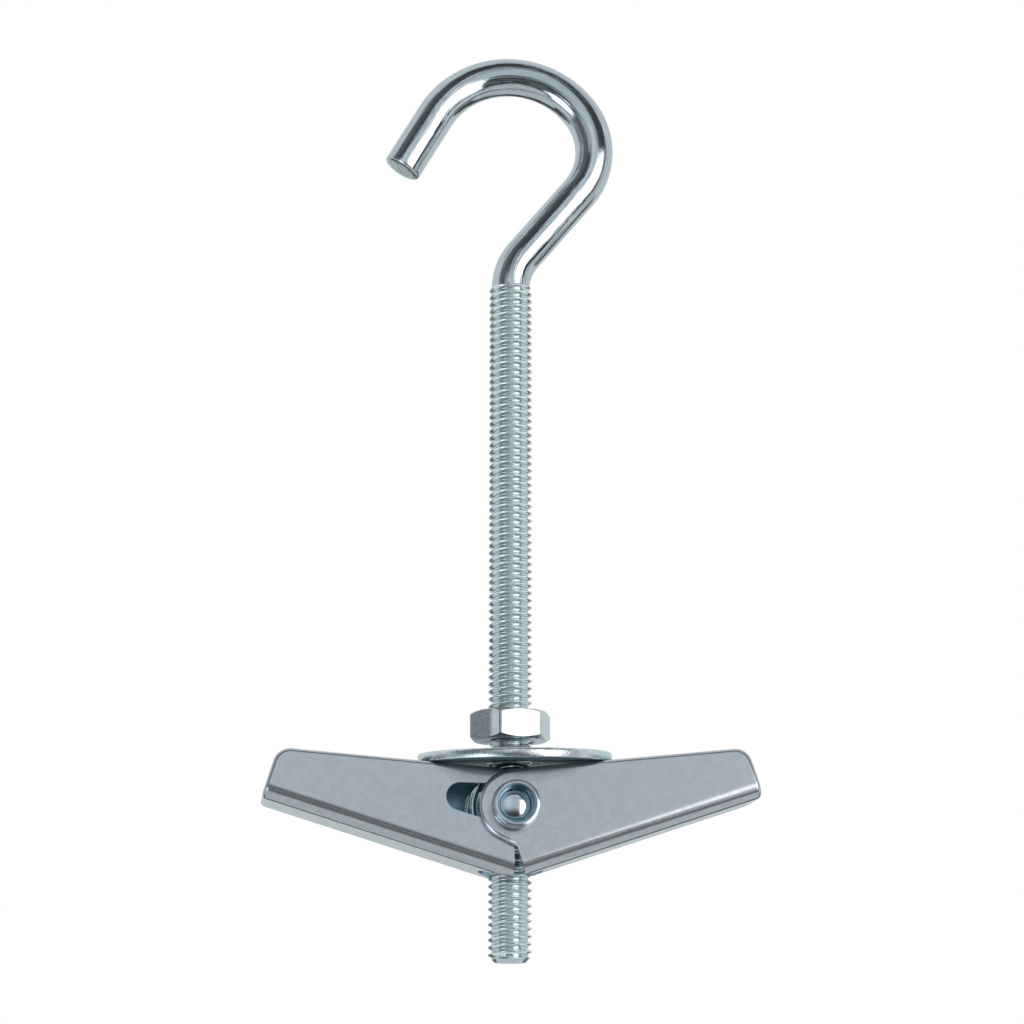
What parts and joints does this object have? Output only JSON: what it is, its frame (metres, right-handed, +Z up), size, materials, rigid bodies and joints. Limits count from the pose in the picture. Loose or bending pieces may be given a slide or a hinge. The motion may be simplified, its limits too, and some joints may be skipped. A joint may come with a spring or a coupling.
{
  "type": "spring toggle anchor with open hook",
  "caption": "Spring toggle anchor: threaded rod bent into an open hook, hex nut, wide washer and folded steel wings on a sprung trunnion nut.",
  "frame": {"origin": "centre of the threaded rod's lower end face", "axes": "+Z up the rod to the hook, +X along the open wings to the viewer's right, +Y along the wings' pivot away from the viewer"},
  "size_m": [0.0659, 0.026, 0.1259],
  "materials": {
    "bright_wire": "bright bluish zinc plating on drawn and rolled wire",
    "nut_zinc": "bright zinc plating, faces slightly etched",
    "washer_zinc": "bright zinc plating with a rough sheared rim",
    "trunnion_zinc": "bright zinc plating on turned steel",
    "spring_steel": "zinc plated spring wire",
    "sheet_zinc": "satin bluish zinc plating on cold rolled sheet"
  },
  "bodies": {
    "hook": {"hook_rod": "bright_wire"},
    "nut": {"hex_nut": "nut_zinc"},
    "washer": {"washer": "washer_zinc"},
    "toggle": {"trunnion_nut": "trunnion_zinc", "torsion_spring": "spring_steel"},
    "left_wing": {"left_wing": "sheet_zinc"},
    "right_wing": {"right_wing": "sheet_zinc"}
  },
  "joints": [
    {"name": "toggle_travel", "type": "slide", "parent": "hook", "child": "toggle", "axis": [0, 0, 1], "range_m": [-0.0095, 0]},
    {"name": "left_wing_fold", "type": "hinge", "parent": "toggle", "child": "left_wing", "pos_m": [0, 0, 0.0201], "axis": [0, 1, 0], "range_deg": [0, 72], "stiffness_Nm_per_rad": 0.01, "springref_deg": -34.38, "deforming": ["torsion_spring"]},
    {"name": "right_wing_fold", "type": "hinge", "parent": "toggle", "child": "right_wing", "pos_m": [0, 0, 0.0201], "axis": [0, -1, 0], "range_deg": [0, 72]},
    {"name": "washer_travel", "type": "slide", "parent": "hook", "child": "washer", "axis": [0, 0, 1], "range_m": [0, 0.056]},
    {"name": "nut_travel", "type": "slide", "parent": "hook", "child": "nut", "axis": [0, 0, 1], "range_m": [0, 0.056]}
  ],
  "couplings": [
    {"joint": "right_wing_fold", "follows": "left_wing_fold", "ratio": 1},
    {"joint": "washer_travel", "follows": "left_wing_fold", "m_per_rad": 0.04455},
    {"joint": "nut_travel", "follows": "left_wing_fold", "m_per_rad": 0.04455}
  ]
}
